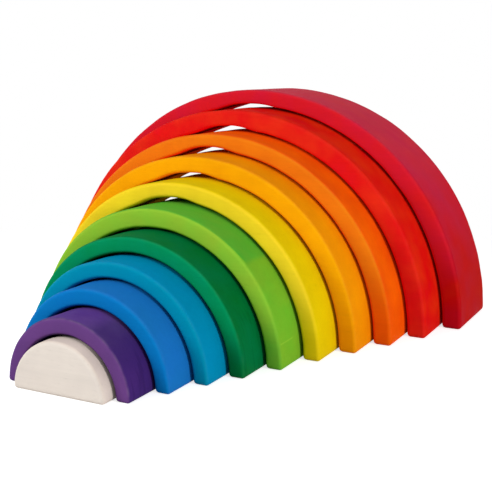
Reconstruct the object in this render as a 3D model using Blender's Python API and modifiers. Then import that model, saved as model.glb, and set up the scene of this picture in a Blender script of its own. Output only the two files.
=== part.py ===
"""Stacking rainbow: a half-round core and ten half-ring arches, sawn from one block of wood.

The pieces stand on one centre line, drawn out towards -Y like a staircase, with the largest arch at the
back. Units are metres and +Z is up. The origin lies on the floor, under the middle of the whole set.
"""

import math
from typing import NamedTuple

import bpy

# Whole rainbow, pushed together
RAINBOW_RADIUS = 0.175
BLOCK_DEPTH = 0.070
CORE_RADIUS = 0.034

# Saw lines: each arch, with the saw gap inside it, takes a little more radius than the one before
PITCH_GROWTH = 0.0005
FIRST_GAP = 0.0022

# How much wider the saw gap is for each next arch, at its feet and over its crown
FOOT_GAP_GROWTH = 0.00015
CROWN_GAP_GROWTH = 0.0003

# How far each arch's front face stands behind that of the piece inside it, as the set is drawn out
VIOLET_STEP = 0.009
BLUE_STEP = 0.024
TURQUOISE_STEP = 0.024
DARK_GREEN_STEP = 0.022
LIGHT_GREEN_STEP = 0.026
YELLOW_STEP = 0.028
AMBER_STEP = 0.028
ORANGE_STEP = 0.028
RED_STEP = 0.029
CRIMSON_STEP = 0.035

# Sanded edges, and the least angle of an edge that is sanded
EDGE_RADIUS = 0.0024
EDGE_SEGMENTS = 3
EDGE_ANGLE = math.radians(40)

# Fineness of the round stretches
ARC_STEPS = 32
WELD_DISTANCE = 0.00001

# Finish
WOOD_ROUGHNESS = 0.6
CORE_COLOUR = "#E3D7CE"


class Arch(NamedTuple):
    """One half ring: its name, its stain and its step back."""

    name: str
    colour: str
    step: float


# From the smallest arch to the largest
ARCHES = (
    Arch("arch_violet", "#623F7D", VIOLET_STEP),
    Arch("arch_blue", "#116BAC", BLUE_STEP),
    Arch("arch_turquoise", "#0A7EA5", TURQUOISE_STEP),
    Arch("arch_dark_green", "#08885C", DARK_GREEN_STEP),
    Arch("arch_light_green", "#85B83C", LIGHT_GREEN_STEP),
    Arch("arch_yellow", "#F1D420", YELLOW_STEP),
    Arch("arch_amber", "#F9A10A", AMBER_STEP),
    Arch("arch_orange", "#F16F12", ORANGE_STEP),
    Arch("arch_red", "#E4231A", RED_STEP),
    Arch("arch_crimson", "#D0182B", CRIMSON_STEP),
)

# Distance from the core's front face to the largest arch's back face
SET_DEPTH = BLOCK_DEPTH + sum(arch.step for arch in ARCHES)


def linear_colour(hex_colour):
    """Turns an sRGB hex colour into the linear RGBA that a shader takes."""
    channels = [int(hex_colour[i:i + 2], 16) / 255 for i in (1, 3, 5)]
    linear = [c / 12.92 if c <= 0.04045 else ((c + 0.055) / 1.055) ** 2.4 for c in channels]
    return (*linear, 1.0)


def stained_wood(name, hex_colour):
    """Satin wood in one stain colour."""
    material = bpy.data.materials.new(name)
    material.use_nodes = True
    shader = material.node_tree.nodes["Principled BSDF"]
    shader.inputs["Base Color"].default_value = linear_colour(hex_colour)
    shader.inputs["Roughness"].default_value = WOOD_ROUGHNESS
    shader.inputs["Metallic"].default_value = 0.0
    return material


def saw_lines():
    """Gives each arch's inner half width, inner height and outer radius, from the core outwards."""
    middle_pitch = (RAINBOW_RADIUS - CORE_RADIUS) / len(ARCHES)
    middle = (len(ARCHES) - 1) / 2
    outer = CORE_RADIUS
    for i in range(len(ARCHES)):
        inner = outer + FIRST_GAP
        outer += middle_pitch + (i - middle) * PITCH_GROWTH
        yield inner + i * FOOT_GAP_GROWTH, inner + i * CROWN_GAP_GROWTH, outer


def arc(half_width, height, start, end):
    """Points on a circle or oval about the origin, between two angles in degrees."""
    angles = [math.radians(start + (end - start) * i / ARC_STEPS) for i in range(ARC_STEPS + 1)]
    return [(half_width * math.cos(angle), height * math.sin(angle)) for angle in angles]


def sawn_piece(name, hex_colour, outline, front):
    """Stands an outline up as a block of the block's depth, with all its edges sanded round."""
    curve = bpy.data.curves.new(name, "CURVE")
    curve.dimensions = "2D"
    curve.fill_mode = "BOTH"
    curve.extrude = BLOCK_DEPTH / 2
    spline = curve.splines.new("POLY")
    spline.points.add(len(outline) - 1)
    for point, (x, y) in zip(spline.points, outline):
        point.co = (x, y, 0.0, 1.0)
    spline.use_cyclic_u = True
    spline.use_smooth = True
    curve.materials.append(stained_wood(f"{name}_wood", hex_colour))

    piece = bpy.data.objects.new(name, curve)
    piece.location = (0.0, front + BLOCK_DEPTH / 2, 0.0)
    piece.rotation_euler = (math.radians(90), 0.0, 0.0)
    weld = piece.modifiers.new("join_caps", "WELD")
    weld.merge_threshold = WELD_DISTANCE
    bevel = piece.modifiers.new("sanded_edges", "BEVEL")
    bevel.width = EDGE_RADIUS
    bevel.segments = EDGE_SEGMENTS
    bevel.limit_method = "ANGLE"
    bevel.angle_limit = EDGE_ANGLE
    return piece


def build():
    """Clears the scene and stands all the pieces in their places."""
    for leftover in list(bpy.data.objects):
        bpy.data.objects.remove(leftover, do_unlink=True)
    collection = bpy.data.collections.new("stacking_rainbow")
    bpy.context.scene.collection.children.link(collection)
    centre = bpy.data.objects.new("rainbow_centre", None)
    collection.objects.link(centre)

    front = -SET_DEPTH / 2
    pieces = [sawn_piece("half_round_core", CORE_COLOUR, arc(CORE_RADIUS, CORE_RADIUS, 0, 180), front)]
    for arch, (inner_width, inner_height, outer) in zip(ARCHES, saw_lines()):
        front += arch.step
        half_ring = arc(outer, outer, 0, 180) + arc(inner_width, inner_height, 180, 0)
        pieces.append(sawn_piece(arch.name, arch.colour, half_ring, front))
    for piece in pieces:
        piece.parent = centre
        collection.objects.link(piece)


build()
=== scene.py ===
"""Stacking rainbow of stained lime wood, on a pale studio floor.

Laid out as an add-on and run as a script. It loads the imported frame, saws eleven finished pieces to the
sizes of the frame's plain solids, stains them, and sets up the floor, the light and the camera.
"""

import math

import bpy
from bpy.props import FloatProperty, FloatVectorProperty, IntProperty, PointerProperty
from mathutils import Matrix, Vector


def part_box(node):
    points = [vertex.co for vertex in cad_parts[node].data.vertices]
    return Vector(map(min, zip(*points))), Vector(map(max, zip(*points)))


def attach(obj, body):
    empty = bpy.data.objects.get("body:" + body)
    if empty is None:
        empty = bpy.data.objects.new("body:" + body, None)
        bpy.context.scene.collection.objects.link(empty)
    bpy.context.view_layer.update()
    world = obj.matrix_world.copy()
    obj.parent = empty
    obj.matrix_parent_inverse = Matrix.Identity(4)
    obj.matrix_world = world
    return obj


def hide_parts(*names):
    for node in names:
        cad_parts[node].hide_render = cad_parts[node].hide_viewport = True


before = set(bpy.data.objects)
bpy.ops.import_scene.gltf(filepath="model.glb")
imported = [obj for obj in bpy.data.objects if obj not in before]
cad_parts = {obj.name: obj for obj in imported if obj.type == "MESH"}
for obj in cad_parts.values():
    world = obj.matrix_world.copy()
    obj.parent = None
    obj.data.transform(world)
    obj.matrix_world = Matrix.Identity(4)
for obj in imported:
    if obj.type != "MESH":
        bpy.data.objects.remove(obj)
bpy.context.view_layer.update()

bl_info = {
    "name": "Stacking Rainbow",
    "version": (1, 0, 0),
    "blender": (4, 5, 0),
    "location": "View3D > Sidebar > Rainbow",
    "description": "Finished pieces, stage and camera for a stacking rainbow of stained lime wood",
    "category": "Object",
}

MM = 0.001
ORIGIN = (0.0, 0.0, 0.0)

# From the smallest arch to the largest
ARCHES = (
    "violet", "blue", "turquoise", "dark_green", "light_green",
    "yellow", "amber", "orange", "red", "crimson",
)

# How far the hand-led saw strayed upwards over the crown of an arch's outside, in millimetres
STRAYED = {
    "violet": 0.4, "blue": 0.7, "turquoise": 0.3, "light_green": 1.2,
    "yellow": 1.4, "amber": 2.3, "orange": 1.3, "red": 1.9,
}

# How far the saw line opens out over the crown, in millimetres; it stays closed over the small arches
OPENED = {"yellow": 2.2, "amber": 2.2, "orange": 2.8, "red": 2.7, "crimson": 1.9}

# Edges that turn by more than this are sanded round
SHARP = math.radians(40)

# Vertices of a blank that lie nearer to each other than this are merged
WELD_DISTANCE = 0.01 * MM

# Marks of use, from 0 to 1: thinned edges, a pale film on the crowns, which is dust on the violet arch and
# a painted sheen on the crimson one, streaks of run-down stain; one arch is scratched
WORN = {"violet": 0.15}
DUST_AND_SHEEN = {"violet": 0.05, "crimson": 0.04}
STREAKED = {"violet": 0.3, "dark_green": 0.2}
SCRATCHED = "light_green"

# Every edge is thinned a little, and shows this share of the bare wood where it is thinned
LEAST_WORN = 0.03
BARE_SHARE = 0.25

# Painted shade on the feet of the faces, where the smaller arch in front casts its shadow, from 0 to 1,
# and feet whose painted shade takes a stain other than the rim's
PAINTED_FOOT_SHADE = {
    "dark_green": 1.0, "light_green": 0.7, "yellow": 0.8, "amber": 0.7, "orange": 0.8, "crimson": 0.9,
}
FOOT_SHADE_STAIN = {"light_green": "light_green_crown"}

# Painted shade deepens the colour of the sawn inside, which lies in shadow in the saw lines and under
# the crown. A painted red glow brightens it on the warm arches, for light that bounces in their saw lines,
# and more painted shade dulls it on the others
INSIDE_SHADE_GAMMA = 0.4
INSIDE_PAINTED_GLOW = {"amber": 0.15, "orange": 0.2, "red": 0.5, "crimson": 1.0}
INSIDE_PAINTED_SHADE = -0.2

# How far blotches turn the hue, most where the stain was mixed from two
MOTTLED = {"light_green": 0.06, "dark_green": 0.05}
LEAST_MOTTLED = 0.015

# Brightness of the stain where every pattern is at its lowest, and what each pattern adds to it
LEAST_BRIGHT = 0.8
FIBRES_BRIGHTEN = 0.1
BANDS_BRIGHTEN = 0.1
BLOTCHES_BRIGHTEN = 0.2
FLECKS_BRIGHTEN = -0.05
STREAKS_BRIGHTEN = -0.6

# Levels of a random pattern at which a mark starts and is full
FLECK_LEVELS = (0.6, 0.78)
STREAK_LEVELS = (0.48, 0.66)
THINNED_LEVELS = (0.25, 0.7)
DUST_LEVELS = (0.1, 0.8)

# One look passes into the next between two values of how squarely the surface looks to the front or back
PLANED_FACE = (0.35, 0.9)
EDGE_FROM_RIM = (0.1, 0.5)
EDGE_TO_FACE = (0.7, 0.98)
SCRATCH_TO_FACE = (0.2, 0.6)

# The same for how squarely it looks up; some crowns have a shade of their own, the crimson one a painted
# sheen
CROWNED = {"violet": (0.86, 1.0), "light_green": (0.66, 0.7), "crimson": (0.1, 0.8)}
DUST_AND_SHEEN_CROWN = (0.45, 0.95)

# The same for the larger of these two, for how squarely it looks away from the arch's axis, and for how
# high it lies on the arch, from 0 at the feet to 1 at the crown
LEG_SIDE = (0.35, 0.75)
INSIDE = (-0.9, -0.3)
FOOT_SHADE_HEIGHTS = (0.1, 0.45)

# Satin finish: the least roughness, what blotches and the rough inside add to it, and the sheen outside
SATIN = 0.52
BLOTCHES_ROUGHEN = 0.2
INSIDE_ROUGHENS = 0.3
SHEEN = 0.025

# Relief of flecks and of the scratch, in shares of the fibres' own, and how strongly and deeply all show
FLECK_RELIEF = -0.6
SCRATCH_RELIEF = -0.2
RELIEF_STRENGTH = 0.35
RELIEF_DEPTH = 0.12 * MM

# The scratch: how far it bares the brighter stain, the shares of its width and length that are at full
# strength, and how far from it, towards the outside, the side of the leg starts and is full
SCRATCH_BARES = 0.8
SCRATCH_CORE = 0.3
SCRATCH_TAPER = 0.6
SCRATCHED_LEG = (-12.0 * MM, -8.0 * MM)

# Sockets of a Mix node for colours: the share of the second colour, the two colours, and the mixture
SHARE, FIRST, SECOND, MIXTURE = 0, 6, 7, 2

# A soft step of a value
SOFT = {"interpolation_type": "SMOOTHSTEP"}

# Width in millimetres of the sensor that the lens is given for
SENSOR_WIDTH = 36.0

# Share of the floor's shadow reach inside which it isn't whitened at all
SHADOW_CORE = 0.4


def linear(hex_colour):
    """Turns an sRGB hex colour into linear RGBA, by the curve that sRGB itself sets."""
    shades = [int(hex_colour[start:start + 2], 16) / 255 for start in (1, 3, 5)]
    red, green, blue = (
        shade / 12.92 if shade <= 0.04045 else ((shade + 0.055) / 1.055) ** 2.4 for shade in shades
    )
    return (red, green, blue, 1.0)


def stain(name, description, hex_colour):
    """A colour setting that starts at an sRGB hex value."""
    return FloatVectorProperty(
        name=name, description=description, subtype="COLOR", size=4, min=0.0, max=1.0,
        default=linear(hex_colour),
    )


def length(name, description, default):
    """A length setting in metres."""
    return FloatProperty(name=name, description=description, unit="LENGTH", min=0.0, default=default)


def lengths(name, description, subtype, default):
    """A setting of three lengths in metres, along X, Y and Z."""
    return FloatVectorProperty(
        name=name, description=description, subtype=subtype, unit="LENGTH", size=3, default=default
    )


def angle(name, description, degrees):
    """An angle setting that starts at a number of degrees."""
    return FloatProperty(
        name=name, description=description, subtype="ANGLE", default=math.radians(degrees)
    )


class RainbowShape(bpy.types.PropertyGroup):
    """How the pieces are sawn and sanded"""

    edge_radius: length("Edge radius", "Rounding that the sander leaves on every edge", 3.0 * MM)
    edge_segments: IntProperty(
        name="Edge segments", description="Faces across a rounded edge", default=6, min=1
    )
    saw_gap: length("Saw gap", "Width of the saw line between two pieces, seen from the front", 1.7 * MM)
    crown_width: length("Crown width", "Half the width over which the saw line opens out", 28.0 * MM)
    crown_place: FloatProperty(
        name="Crown place", description="Middle of that stretch, from the middle of the arch",
        unit="LENGTH", default=-7.0 * MM,
    )
    saw_step: length("Saw step", "Length of arc between two rows of faces", 3.0 * MM)
    depth_rows: IntProperty(
        name="Depth rows", description="Rows of faces from front to back", default=22, min=2
    )
    wave_size: length("Wave size", "Distance over which a hand-led saw wanders", 26.0 * MM)
    wave_height: length("Wave height", "How far the saw wanders in and out, in all", 0.6 * MM)
    dent_size: length("Dent size", "Size of the sander's shallow dents", 7.0 * MM)
    dent_height: length("Dent height", "Depth of the sander's dents", 0.16 * MM)


class RainbowStains(bpy.types.PropertyGroup):
    """Stain colours: planed face and sawn rim of each piece, and the crowns that differ from their rim"""

    core_face: stain("Core face", "Planed front and back", "#E0D6CC")
    core_rim: stain("Core rim", "Sawn outside and inside", "#E3D5C9")
    violet_face: stain("Violet face", "Planed front and back", "#653F7E")
    violet_rim: stain("Violet rim", "Sawn outside and inside", "#41266C")
    violet_crown: stain("Violet crown", "Sawn outside of the crown, worn pale", "#583285")
    blue_face: stain("Blue face", "Planed front and back", "#0A77BF")
    blue_rim: stain("Blue rim", "Sawn outside and inside", "#1A72BE")
    turquoise_face: stain("Turquoise face", "Planed front and back", "#028BAC")
    turquoise_rim: stain("Turquoise rim", "Sawn outside and inside", "#0289B4")
    dark_green_face: stain("Dark green face", "Planed front and back", "#048A56")
    dark_green_rim: stain("Dark green rim", "Sawn outside and inside", "#036C35")
    light_green_face: stain("Light green face", "Planed front and back", "#8CBE34")
    light_green_rim: stain("Light green rim", "Sawn outside and inside", "#76B22A")
    light_green_crown: stain("Light green crown", "Sawn outside of the crown, dipped twice", "#5AAA30")
    yellow_face: stain("Yellow face", "Planed front and back", "#F0CE26")
    yellow_rim: stain("Yellow rim", "Sawn outside and inside", "#E2C405")
    amber_face: stain("Amber face", "Planed front and back", "#F0A206")
    amber_rim: stain("Amber rim", "Sawn outside and inside", "#EC9005")
    orange_face: stain("Orange face", "Planed front and back", "#E67812")
    orange_rim: stain("Orange rim", "Sawn outside and inside", "#EE5A05")
    red_face: stain("Red face", "Planed front and back", "#DC2218")
    red_rim: stain("Red rim", "Sawn outside and inside", "#DA1E0C")
    crimson_face: stain("Crimson face", "Planed front and back", "#CF1B2B")
    crimson_rim: stain("Crimson rim", "Sawn outside and inside", "#B60A10")
    # Painted sheen: the crimson crown is drawn paler and pinker, as where its top catches the light
    crimson_crown: stain("Crimson crown", "Sawn outside of the crown, bleached by the sun", "#C81638")


class RainbowGrain(bpy.types.PropertyGroup):
    """Marks that the wood, the stain and use leave; sizes along the block, through it and upwards"""

    # Lime's fibres and pores are too fine to show, so both are drawn many times as thick as they are
    grain_size: lengths(
        "Grain size", "Length and thickness of the wood's bundles of fibres", "XYZ",
        (55.0 * MM, 2.6 * MM, 2.0 * MM),
    )
    pore_size: lengths(
        "Pore size", "Length and thickness of a dark fleck", "XYZ", (5.0 * MM, 1.2 * MM, 1.0 * MM)
    )
    ring_size: lengths(
        "Ring size", "Length and thickness of a band of summer or winter growth", "XYZ",
        (190.0 * MM, 16.0 * MM, 9.0 * MM),
    )
    blotch_size: length("Blotch size", "Width of a patch that took up more stain", 26.0 * MM)
    chip_size: length("Chip size", "Length of a stretch of thinned edge", 7.0 * MM)
    streak_size: lengths(
        "Streak size", "Width, depth and height of a streak of run-down stain", "XYZ",
        (8.0 * MM, 2.4 * MM, 34.0 * MM),
    )
    bare_wood: stain("Bare wood", "Lime wood where the stain is sanded thin", "#E9D6BE")
    # On the crimson crown this pale colour is a painted sheen, not dust
    dust: stain("Dust", "Fine pale sanding dust", "#DCCFD8")
    scratch_place: lengths(
        "Scratch place", "Middle of the scratch on the light green leg", "XYZ", (0.0967, -0.0464, 0.0176)
    )
    scratch_length: length("Scratch length", "From end to end", 24.0 * MM)
    # The real scratch is too fine to show, so it is drawn at nearly twice its width
    scratch_width: length("Scratch width", "Half its width, with its soft edge", 0.7 * MM)
    scratch_slope: angle("Scratch slope", "How steeply it rises towards the back", 0.5)


class RainbowStage(bpy.types.PropertyGroup):
    """Floor, light and camera"""

    floor_size: length("Floor size", "Side of the square floor", 12.0)
    floor_paper: stain("Floor paper", "Paper of the floor where it is shaded", "#E6E6E6")
    floor_glow: FloatProperty(
        name="Floor glow", description="How much brighter the shaded floor is drawn than it is lit",
        default=0.72,
    )
    shadow_reach: length("Shadow reach", "Distance from the middle at which the floor is pure white", 0.5)
    eye: lengths("Eye", "Place of the camera", "TRANSLATION", (0.3462, -0.5771, 0.1941))
    yaw: angle("Yaw", "Turn of the camera from looking along +Y", 27.759)
    pitch: angle("Pitch", "Tilt of the camera from level", -10.947)
    lens: FloatProperty(name="Lens", description="Focal length for a 36 mm sensor, in mm", default=68.3)
    key_place: lengths("Key place", "Place of the large lamp", "TRANSLATION", (-0.95, -1.1, 0.95))
    key_size: length("Key size", "Side of the large lamp", 0.7)
    key_power: FloatProperty(
        name="Key power", description="Power of the large lamp", unit="POWER", default=19.0
    )
    fill_place: lengths(
        "Fill place", "Place of the lamp at the right", "TRANSLATION", (1.54, -0.42, 0.35)
    )
    fill_size: length("Fill size", "Side of the lamp at the right", 0.25)
    fill_power: FloatProperty(
        name="Fill power", description="Power of the lamp at the right", unit="POWER", default=12.0
    )
    ambient: FloatProperty(
        name="Ambient", description="Brightness of the light from all round", default=0.4
    )


def add(tree, kind, inputs=(), output=0, **settings):
    """Adds a node with its settings, feeds its inputs with values or sockets, and gives one output."""
    node = tree.nodes.new(f"ShaderNode{kind}")
    for name, value in settings.items():
        setattr(node, name, value)
    for key, value in inputs.items() if isinstance(inputs, dict) else enumerate(inputs):
        if isinstance(value, bpy.types.NodeSocket):
            tree.links.new(value, node.inputs[key])
        else:
            node.inputs[key].default_value = value
    return node.outputs[output]


def lumps(tree, block, size, detail):
    """Soft random values about 0.5, in lumps of the given size in metres along X, Y and Z."""
    stretched = add(tree, "Mapping", {"Vector": block, "Scale": [1.0 / side for side in size]})
    return add(tree, "TexNoise", {"Vector": stretched, "Scale": 1.0, "Detail": detail}, "Fac")


def scratch_mark(tree, place, facing):
    """1 along a thin straight line on the outer side of a right leg, and 0 beside it."""
    grain = bpy.context.scene.rainbow_grain
    turned = add(
        tree, "Mapping",
        {"Vector": place, "Location": grain.scratch_place, "Rotation": (grain.scratch_slope, 0.0, 0.0)},
        vector_type="TEXTURE",
    )
    outward = add(tree, "SeparateXYZ", [turned], "X")
    beside = add(tree, "Math", [outward.node.outputs["Z"]], operation="ABSOLUTE")
    beyond = add(tree, "Math", [outward.node.outputs["Y"]], operation="ABSOLUTE")
    width = grain.scratch_width
    thin = add(tree, "MapRange", (beside, SCRATCH_CORE * width, width, 1.0, 0.0), **SOFT)
    half_length = 0.5 * grain.scratch_length
    short = add(tree, "MapRange", (beyond, SCRATCH_TAPER * half_length, half_length, 1.0, 0.0), **SOFT)
    right_leg = add(tree, "MapRange", (outward, *SCRATCHED_LEG), **SOFT)
    off_face = add(tree, "MapRange", (facing, *SCRATCH_TO_FACE, 1.0, 0.0), **SOFT)
    line = add(tree, "Math", (thin, short), operation="MULTIPLY")
    side = add(tree, "Math", (right_leg, off_face), operation="MULTIPLY")
    return add(tree, "Math", (line, side), operation="MULTIPLY")


def stained_lime(colour, front_place):
    """Lime wood, sawn, sanded and dipped in a thin water stain.

    Lime is pale and even, so the stain covers it almost flatly: the eye finds faint long grain, soft
    blotches, fine flecks and a satin sheen. The planed faces stay brightest, and the sawn rim soaks up
    more stain. The stain is thinned on the rounded edges, and fine dust lies on the violet crown. Painted
    light is mixed into the colour too: painted shade on the faces' feet, where the smaller arch in front
    shadows them, painted shade deepening the sawn inside, a painted red glow inside the warm arches, and a
    painted sheen on the crimson crown. Wood has about the IOR that the shader starts with, 1.5.
    """
    stains = bpy.context.scene.rainbow_stains
    grain = bpy.context.scene.rainbow_grain
    face = tuple(getattr(stains, f"{colour}_face"))
    rim = tuple(getattr(stains, f"{colour}_rim"))
    material = bpy.data.materials.new(f"{colour}_stained_lime")
    material.use_nodes = True
    tree = material.node_tree

    # All patterns are measured from the piece's own front, so they run on through the nested block
    place = add(tree, "TexCoord", output="Object")
    normal = place.node.outputs["Normal"]
    block = add(tree, "Mapping", {"Vector": place, "Location": (0.0, -front_place, 0.0)})
    upward = add(tree, "SeparateXYZ", [normal], "Z")
    facing = add(tree, "Math", [upward.node.outputs["Y"]], operation="ABSOLUTE")
    radial = add(tree, "VectorMath", (place, (1.0, 0.0, 1.0)), operation="MULTIPLY")
    radial = add(tree, "VectorMath", [radial], operation="NORMALIZE")
    outward = add(tree, "VectorMath", (radial, normal), "Value", operation="DOT_PRODUCT")
    inside = add(tree, "MapRange", (outward, *INSIDE, 1.0, 0.0), **SOFT)

    # Stain: planed faces in front and behind and the sawn rim between them, with painted shade and sheen
    front = face
    # Painted shade: the faces' feet turn towards a darker stain, where the smaller arch in front shadows
    # them
    if colour in PAINTED_FOOT_SHADE:
        foot_shade_colour = tuple(getattr(stains, FOOT_SHADE_STAIN.get(colour, f"{colour}_rim")))
        height = add(tree, "SeparateXYZ", [radial], "Z")
        feet = add(tree, "MapRange", (height, *FOOT_SHADE_HEIGHTS, PAINTED_FOOT_SHADE[colour], 0.0), **SOFT)
        front = add(tree, "Mix", {SHARE: feet, FIRST: face, SECOND: foot_shade_colour}, MIXTURE, data_type="RGBA")
    # Some crowns take their own stain; the crimson one is a painted sheen, paler and pinker on top
    if colour in CROWNED:
        crown = tuple(getattr(stains, f"{colour}_crown"))
        raised = add(tree, "MapRange", (upward, *CROWNED[colour]), **SOFT)
        rim = add(tree, "Mix", {SHARE: raised, FIRST: rim, SECOND: crown}, MIXTURE, data_type="RGBA")
    planed = add(tree, "MapRange", (facing, *PLANED_FACE), **SOFT)
    wood = add(tree, "Mix", {SHARE: planed, FIRST: rim, SECOND: front}, MIXTURE, data_type="RGBA")

    # Grain, growth bands, blotches and flecks darken or lighten the stain a little
    fibres = lumps(tree, block, grain.grain_size, detail=3.0)
    bands = lumps(tree, block, grain.ring_size, detail=1.0)
    blotches = lumps(tree, block, [grain.blotch_size] * 3, detail=3.0)
    pores = lumps(tree, block, grain.pore_size, detail=1.0)
    flecks = add(tree, "MapRange", (pores, *FLECK_LEVELS), **SOFT)
    bright = add(tree, "Math", (fibres, FIBRES_BRIGHTEN, LEAST_BRIGHT), operation="MULTIPLY_ADD")
    bright = add(tree, "Math", (bands, BANDS_BRIGHTEN, bright), operation="MULTIPLY_ADD")
    bright = add(tree, "Math", (blotches, BLOTCHES_BRIGHTEN, bright), operation="MULTIPLY_ADD")
    bright = add(tree, "Math", (flecks, FLECKS_BRIGHTEN, bright), operation="MULTIPLY_ADD")
    if colour in STREAKED:
        off_legs = add(tree, "Math", (facing, upward), operation="MAXIMUM")
        legs = add(tree, "MapRange", (off_legs, *LEG_SIDE, 1.0, 0.0), **SOFT)
        runs = lumps(tree, block, grain.streak_size, detail=2.0)
        deepest = STREAKS_BRIGHTEN * STREAKED[colour]
        runs = add(tree, "MapRange", (runs, *STREAK_LEVELS, 0.0, deepest), **SOFT)
        bright = add(tree, "Math", (runs, legs, bright), operation="MULTIPLY_ADD")

    # Painted shade deepens the inside's colour, a painted glow brightens it on the warm arches and more
    # painted shade dulls it on the others; blotches turn the hue
    inside_shade_gamma = add(tree, "Math", (inside, INSIDE_SHADE_GAMMA, 1.0), operation="MULTIPLY_ADD")
    wood = add(tree, "Gamma", {"Color": wood, "Gamma": inside_shade_gamma})
    inside_painted_light = INSIDE_PAINTED_GLOW.get(colour, INSIDE_PAINTED_SHADE)
    bright = add(tree, "Math", (inside, inside_painted_light, bright), operation="MULTIPLY_ADD")
    turn = MOTTLED.get(colour, LEAST_MOTTLED)
    hue = add(tree, "Math", (blotches, turn, 0.5 - 0.5 * turn), operation="MULTIPLY_ADD")
    wood = add(tree, "HueSaturation", {"Hue": hue, "Color": wood})
    wood = add(tree, "VectorMath", {0: wood, "Scale": bright}, operation="SCALE")

    # Thinned stain on the rounded edges, in stretches
    pairs = zip(face, grain.bare_wood)
    thinned = tuple((1.0 - BARE_SHARE) * own + BARE_SHARE * bare for own, bare in pairs)
    most_worn = LEAST_WORN + WORN.get(colour, 0.0)
    chips = lumps(tree, block, [grain.chip_size] * 3, detail=3.0)
    chips = add(tree, "MapRange", (chips, *THINNED_LEVELS, 0.0, most_worn), **SOFT)
    past_rim = add(tree, "MapRange", (facing, *EDGE_FROM_RIM), **SOFT)
    before_face = add(tree, "MapRange", (facing, *EDGE_TO_FACE, 1.0, 0.0), **SOFT)
    edge = add(tree, "Math", (past_rim, before_face), operation="MULTIPLY")
    worn = add(tree, "Math", (edge, chips), operation="MULTIPLY")
    wood = add(tree, "Mix", {SHARE: worn, FIRST: wood, SECOND: thinned}, MIXTURE, data_type="RGBA")

    # Dust lies where the violet crown faces up; on the crimson crown the same pale film is a painted sheen
    if colour in DUST_AND_SHEEN:
        film = add(tree, "MapRange", (blotches, *DUST_LEVELS, 0.0, DUST_AND_SHEEN[colour]), **SOFT)
        on_top = add(tree, "MapRange", (upward, *DUST_AND_SHEEN_CROWN), **SOFT)
        dust_and_sheen_share = add(tree, "Math", (film, on_top), operation="MULTIPLY")
        wood = add(tree, "Mix", {SHARE: dust_and_sheen_share, FIRST: wood, SECOND: grain.dust}, MIXTURE, data_type="RGBA")

    # Relief, the scratch and the satin finish, which the rough inside lacks
    relief = add(tree, "Math", (flecks, FLECK_RELIEF, fibres), operation="MULTIPLY_ADD")
    if colour == SCRATCHED:
        mark = scratch_mark(tree, place, facing)
        bared = add(tree, "Math", (mark, SCRATCH_BARES), operation="MULTIPLY")
        wood = add(tree, "Mix", {SHARE: bared, FIRST: wood, SECOND: face}, MIXTURE, data_type="RGBA")
        relief = add(tree, "Math", (mark, SCRATCH_RELIEF, relief), operation="MULTIPLY_ADD")
    bump = add(tree, "Bump", {"Height": relief, "Strength": RELIEF_STRENGTH, "Distance": RELIEF_DEPTH})
    roughness = add(tree, "Math", (blotches, BLOTCHES_ROUGHEN, SATIN), operation="MULTIPLY_ADD")
    roughness = add(tree, "Math", (inside, INSIDE_ROUGHENS, roughness), operation="MULTIPLY_ADD")
    sheen = add(tree, "MapRange", (inside, 0.0, 1.0, SHEEN, 0.0))

    shader = tree.nodes["Principled BSDF"]
    shader.inputs["Specular Tint"].default_value = face
    tree.links.new(wood, shader.inputs["Base Color"])
    tree.links.new(roughness, shader.inputs["Roughness"])
    tree.links.new(sheen, shader.inputs["Specular IOR Level"])
    tree.links.new(bump, shader.inputs["Normal"])
    return material


def deselect_all():
    """Leaves nothing selected, so an operator acts on its own piece alone."""
    if bpy.context.object and bpy.context.object.mode != "OBJECT":
        bpy.ops.object.mode_set(mode="OBJECT")
    bpy.ops.object.select_all(action="DESELECT")


def apply_modifier(piece, name, kind, **settings):
    """Adds a modifier with its settings and applies it."""
    modifier = piece.modifiers.new(name, kind)
    for key, value in settings.items():
        setattr(modifier, key, value)
    bpy.ops.object.modifier_apply(modifier=name)


def clouds(name, size):
    """A soft random texture whose lumps have the given size."""
    texture = bpy.data.textures.new(name, "CLOUDS")
    texture.noise_scale = size
    texture.noise_depth = 1
    return texture


def tunnel_size(node):
    """Half the width of a plain arch's tunnel at its feet, and its height under the crown."""
    edge_radius = bpy.context.scene.rainbow_shape.edge_radius
    foot_top = 1.1 * edge_radius
    crown_side = 0.1 * edge_radius
    corners = [vertex.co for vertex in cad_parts[node].data.vertices]
    half_width = min(abs(corner.x) for corner in corners if corner.z < foot_top)
    height = min(corner.z for corner in corners if abs(corner.x) < crown_side)
    return half_width, height


def blank_edges(piece, middle):
    """Indexes of a sawn arch's vertices: on its outside, and on its inside in front and behind."""
    outside = []
    inside_front = []
    inside_back = []
    for vertex in piece.data.vertices:
        if math.hypot(vertex.co.x, vertex.co.z) >= middle[0]:
            outside.append(vertex.index)
        elif vertex.co.y < middle[1]:
            inside_front.append(vertex.index)
        else:
            inside_back.append(vertex.index)
    return outside, inside_front, inside_back


def stretch(piece, indexes, across, upwards):
    """Scales some of the active piece's vertices from the middle of the floor."""
    for index in indexes:
        piece.data.vertices[index].select = True
    bpy.ops.object.mode_set(mode="EDIT")
    bpy.ops.transform.resize(value=(across, 1.0, upwards), center_override=ORIGIN)
    bpy.ops.mesh.select_all(action="DESELECT")
    bpy.ops.object.mode_set(mode="OBJECT")


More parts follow.
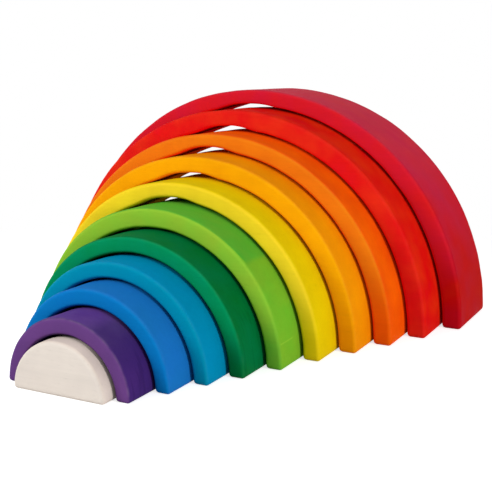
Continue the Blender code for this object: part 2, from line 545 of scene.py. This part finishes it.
def open_crown(piece, inside_front, rise):
    """Lifts the front edge of an arch's inside over its crown, where the saw line opens out."""
    shape = bpy.context.scene.rainbow_shape
    inner_crown = piece.vertex_groups.new(name="inner_crown")
    for index in inside_front:
        aside = abs(piece.data.vertices[index].co.x - shape.crown_place) / shape.crown_width
        if aside < 1.0:
            # A smooth bump: 1 in the middle and 0 at both ends
            inner_crown.add([index], (1.0 - aside ** 3) ** 2, "REPLACE")
    apply_modifier(
        piece, "opened_crown", "DISPLACE", direction="Z", strength=rise, mid_level=0.0,
        vertex_group="inner_crown",
    )
    piece.vertex_groups.clear()


def sand(piece, front, back):
    """Rounds a sawn blank's edges, cuts it into rows and gives it a hand-finished unevenness."""
    shape = bpy.context.scene.rainbow_shape
    apply_modifier(
        piece, "sanded_edges", "BEVEL", width=shape.edge_radius, segments=shape.edge_segments,
        limit_method="ANGLE", angle_limit=SHARP,
    )
    bpy.ops.object.mode_set(mode="EDIT")
    for row in range(1, shape.depth_rows):
        bpy.ops.mesh.select_all(action="SELECT")
        place = front + (back - front) * row / shape.depth_rows
        bpy.ops.mesh.bisect(plane_co=(0.0, place, 0.0), plane_no=(0.0, 1.0, 0.0))
    bpy.ops.object.mode_set(mode="OBJECT")
    above_floor = piece.vertex_groups.new(name="above_floor")
    raised = [vertex.index for vertex in piece.data.vertices if vertex.co.z > shape.edge_radius]
    above_floor.add(raised, 1.0, "REPLACE")
    for name, size, height in (
        ("saw_waves", shape.wave_size, shape.wave_height),
        ("sander_dents", shape.dent_size, shape.dent_height),
    ):
        apply_modifier(
            piece, name, "DISPLACE", texture=clouds(name, size), texture_coords="LOCAL", strength=height,
            mid_level=0.5, vertex_group="above_floor",
        )
    piece.vertex_groups.clear()
    bpy.ops.object.shade_smooth()


def dress(piece, node, body, colour):
    """Stains a piece and puts it in its plain solid's place."""
    front_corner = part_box(node)[0]
    piece.data.materials.clear()
    piece.data.materials.append(stained_lime(colour, front_corner.y))
    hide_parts(node)
    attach(piece, body)


class RAINBOW_OT_core(bpy.types.Operator):
    """Saws the bare half-round core"""

    bl_idname = "rainbow.add_core"
    bl_label = "Add core"
    bl_options = {"REGISTER", "UNDO"}

    def execute(self, context):
        shape = context.scene.rainbow_shape
        low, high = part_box("half_round_core")
        radius = high.z
        deselect_all()
        bpy.ops.mesh.primitive_cylinder_add(
            vertices=2 * round(math.pi * radius / shape.saw_step), radius=radius, depth=high.y - low.y,
            location=(0.0, (low.y + high.y) / 2, 0.0), rotation=(math.pi / 2, 0.0, 0.0),
        )
        piece = context.object
        piece.name = "core_block"
        bpy.ops.object.transform_apply()
        bpy.ops.object.mode_set(mode="EDIT")
        bpy.ops.mesh.select_all(action="SELECT")
        bpy.ops.mesh.bisect(plane_co=ORIGIN, plane_no=(0.0, 0.0, 1.0), use_fill=True, clear_inner=True)
        bpy.ops.object.mode_set(mode="OBJECT")
        sand(piece, low.y, high.y)
        dress(piece, "half_round_core", "core", "core")
        return {"FINISHED"}


class RAINBOW_OT_arches(bpy.types.Operator):
    """Saws and stains the ten half-ring arches"""

    bl_idname = "rainbow.add_arches"
    bl_label = "Add arches"
    bl_options = {"REGISTER", "UNDO"}

    def execute(self, context):
        shape = context.scene.rainbow_shape
        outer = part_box("half_round_core")[1].z
        outer_stray = 0.0
        for colour in ARCHES:
            # In front an arch starts one saw line outside the one before it, and strays as that one does
            node = f"arch_{colour}"
            low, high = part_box(node)
            inner = outer + shape.saw_gap
            inner_stray = outer_stray
            outer = high.z
            outer_stray = STRAYED.get(colour, 0.0) * MM
            middle = ((inner + outer) / 2, (low.y + high.y) / 2, 0.0)

            # A flat foot is spun into a half ring
            deselect_all()
            bpy.ops.mesh.primitive_plane_add(size=1.0, location=middle)
            piece = context.object
            piece.name = f"{colour}_arch_block"
            bpy.ops.object.transform_apply()
            bpy.ops.object.mode_set(mode="EDIT")
            bpy.ops.mesh.select_all(action="SELECT")
            bpy.ops.transform.resize(value=(outer - inner, high.y - low.y, 1.0), center_override=middle)
            bpy.ops.mesh.spin(
                steps=round(math.pi * outer / shape.saw_step), angle=math.pi,
                center=(0.0, middle[1], 0.0), axis=(0.0, 1.0, 0.0),
            )
            bpy.ops.mesh.select_all(action="SELECT")
            bpy.ops.mesh.remove_doubles(threshold=WELD_DISTANCE)
            bpy.ops.mesh.normals_make_consistent(inside=False)
            bpy.ops.mesh.select_all(action="DESELECT")
            bpy.ops.object.mode_set(mode="OBJECT")

            # The inside flares from the saw line in front to the plain solid's tunnel at the back
            outside, inside_front, inside_back = blank_edges(piece, middle)
            back_inner, back_height = tunnel_size(node)
            stretch(piece, outside, 1.0, (outer + outer_stray) / outer)
            stretch(piece, inside_back, back_inner / inner, (back_height + inner_stray) / inner)
            stretch(piece, inside_front, 1.0, (inner + inner_stray) / inner)
            if colour in OPENED:
                open_crown(piece, inside_front, OPENED[colour] * MM)
            sand(piece, low.y, high.y)
            dress(piece, node, f"{colour}_arch", colour)
        return {"FINISHED"}


class RAINBOW_OT_stage(bpy.types.Operator):
    """Lays the floor, hangs the lamps and sets the camera"""

    bl_idname = "rainbow.set_stage"
    bl_label = "Set stage"
    bl_options = {"REGISTER", "UNDO"}

    def execute(self, context):
        scene = context.scene
        stage = scene.rainbow_stage
        scene.view_settings.view_transform = "Standard"

        deselect_all()
        bpy.ops.mesh.primitive_plane_add(size=stage.floor_size)
        floor = context.object
        floor.name = "studio_floor"
        floor.data.materials.append(studio_paper(stage))

        hang_lamp("key_lamp", stage.key_place, stage.key_size, stage.key_power)
        hang_lamp("fill_lamp", stage.fill_place, stage.fill_size, stage.fill_power)
        scene.world = studio_air(stage.ambient)

        bpy.ops.object.camera_add(
            location=stage.eye, rotation=(math.pi / 2 + stage.pitch, 0.0, stage.yaw)
        )
        camera = context.object
        camera.data.lens = stage.lens
        camera.data.sensor_width = SENSOR_WIDTH
        scene.camera = camera
        return {"FINISHED"}


def hang_lamp(name, place, size, power):
    """Hangs a square soft lamp that faces the middle of the floor."""
    bpy.ops.object.light_add(type="AREA", location=place)
    lamp = bpy.context.object
    lamp.name = name
    lamp.data.energy = power
    lamp.data.size = size
    lamp.rotation_euler = (-lamp.location).to_track_quat("-Z", "Y").to_euler()


def background_rays(tree):
    """1 for the rays that see the background or its mirror image, and 0 for those that light things."""
    camera = add(tree, "LightPath", output="Is Camera Ray")
    rays = camera.node.outputs
    mirrored = add(tree, "Math", (rays["Is Glossy Ray"], rays["Is Transmission Ray"]), operation="MAXIMUM")
    return add(tree, "Math", (camera, mirrored), operation="MAXIMUM")


def studio_paper(stage):
    """White paper floor: matt with a soft shadow near the pieces, and pure white further off."""
    material = bpy.data.materials.new("white_paper_floor")
    material.use_nodes = True
    tree = material.node_tree
    tree.nodes.remove(tree.nodes["Principled BSDF"])
    paper = add(tree, "BsdfDiffuse", {"Color": stage.floor_paper})
    glow = add(tree, "Emission", {"Strength": stage.floor_glow})
    shaded = add(tree, "AddShader", (paper, glow))
    white = add(tree, "Emission", {"Strength": 1.0})
    place = add(tree, "TexCoord", output="Object")
    away = add(tree, "VectorMath", [place], "Value", operation="LENGTH")
    far = add(tree, "MapRange", (away, SHADOW_CORE * stage.shadow_reach, stage.shadow_reach), **SOFT)
    seen = add(tree, "MixShader", (far, shaded, white))
    surface = add(tree, "MixShader", (background_rays(tree), paper, seen))
    tree.links.new(surface, tree.nodes["Material Output"].inputs["Surface"])
    return material


def studio_air(ambient):
    """White all round: seen at strength 1, and lighting the pieces at the ambient level."""
    world = bpy.data.worlds.new("white_studio")
    world.use_nodes = True
    tree = world.node_tree
    level = add(tree, "MapRange", (background_rays(tree), 0.0, 1.0, ambient, 1.0))
    air = tree.nodes["Background"]
    air.inputs["Color"].default_value = (1.0, 1.0, 1.0, 1.0)
    tree.links.new(level, air.inputs["Strength"])
    return world


class RAINBOW_PT_sidebar(bpy.types.Panel):
    """Lists the rainbow's settings and operators"""

    bl_label = "Stacking Rainbow"
    bl_idname = "RAINBOW_PT_sidebar"
    bl_space_type = "VIEW_3D"
    bl_region_type = "UI"
    bl_category = "Rainbow"

    def draw(self, context):
        layout = self.layout
        for operator in OPERATORS:
            layout.operator(operator.bl_idname)
        scene = context.scene
        for group in (scene.rainbow_shape, scene.rainbow_stains, scene.rainbow_grain, scene.rainbow_stage):
            box = layout.box()
            for name in group.__annotations__:
                box.prop(group, name)


OPERATORS = (RAINBOW_OT_stage, RAINBOW_OT_core, RAINBOW_OT_arches)
CLASSES = (RainbowShape, RainbowStains, RainbowGrain, RainbowStage, *OPERATORS, RAINBOW_PT_sidebar)


def register():
    """Adds the classes and their settings to Blender."""
    for cls in CLASSES:
        bpy.utils.register_class(cls)
    bpy.types.Scene.rainbow_shape = PointerProperty(type=RainbowShape)
    bpy.types.Scene.rainbow_stains = PointerProperty(type=RainbowStains)
    bpy.types.Scene.rainbow_grain = PointerProperty(type=RainbowGrain)
    bpy.types.Scene.rainbow_stage = PointerProperty(type=RainbowStage)


def unregister():
    """Takes them out again."""
    del bpy.types.Scene.rainbow_stage
    del bpy.types.Scene.rainbow_grain
    del bpy.types.Scene.rainbow_stains
    del bpy.types.Scene.rainbow_shape
    for cls in reversed(CLASSES):
        bpy.utils.unregister_class(cls)


def main():
    """Builds the whole scene."""
    register()
    bpy.ops.rainbow.set_stage()
    bpy.ops.rainbow.add_core()
    bpy.ops.rainbow.add_arches()


if __name__ == "__main__":
    main()
